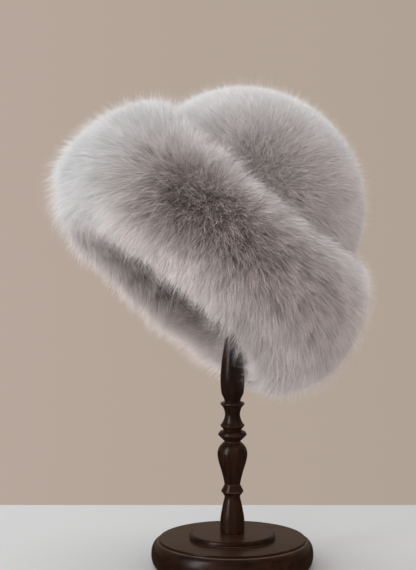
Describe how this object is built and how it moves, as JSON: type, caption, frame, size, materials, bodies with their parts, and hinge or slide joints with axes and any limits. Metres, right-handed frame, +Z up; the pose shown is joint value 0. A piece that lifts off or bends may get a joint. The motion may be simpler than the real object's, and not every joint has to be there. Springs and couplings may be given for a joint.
{
  "type": "fur hat on a wooden hat stand",
  "caption": "Domed fur hat with a deep turned-up fur cuff, tilted on a turned wooden hat stand with a round base.",
  "frame": {"origin": "centre of the flat underside of the stand's round base", "axes": "+Z up along the post, -Y towards the hat's front, +X the way the crown leans"},
  "size_m": [0.3275, 0.3531, 0.4895],
  "materials": {
    "crown_fur": "short dense silver-grey fur, matt with a soft sheen at the tips",
    "cuff_fur": "long soft fur, dark taupe at the roots and silver-grey at the tips",
    "pelt": "matt napped suede",
    "wood": "very dark brown stained wood, satin, a little lighter where edges are rubbed"
  },
  "bodies": {
    "root": {"crown_fur": "crown_fur", "crown_wall": "pelt", "cuff_fur": "cuff_fur", "cuff_wall": "pelt", "stand_base": "wood", "stand_riser": "wood", "stand_post": "wood", "stand_knob": "wood"}
  },
  "joints": []
}
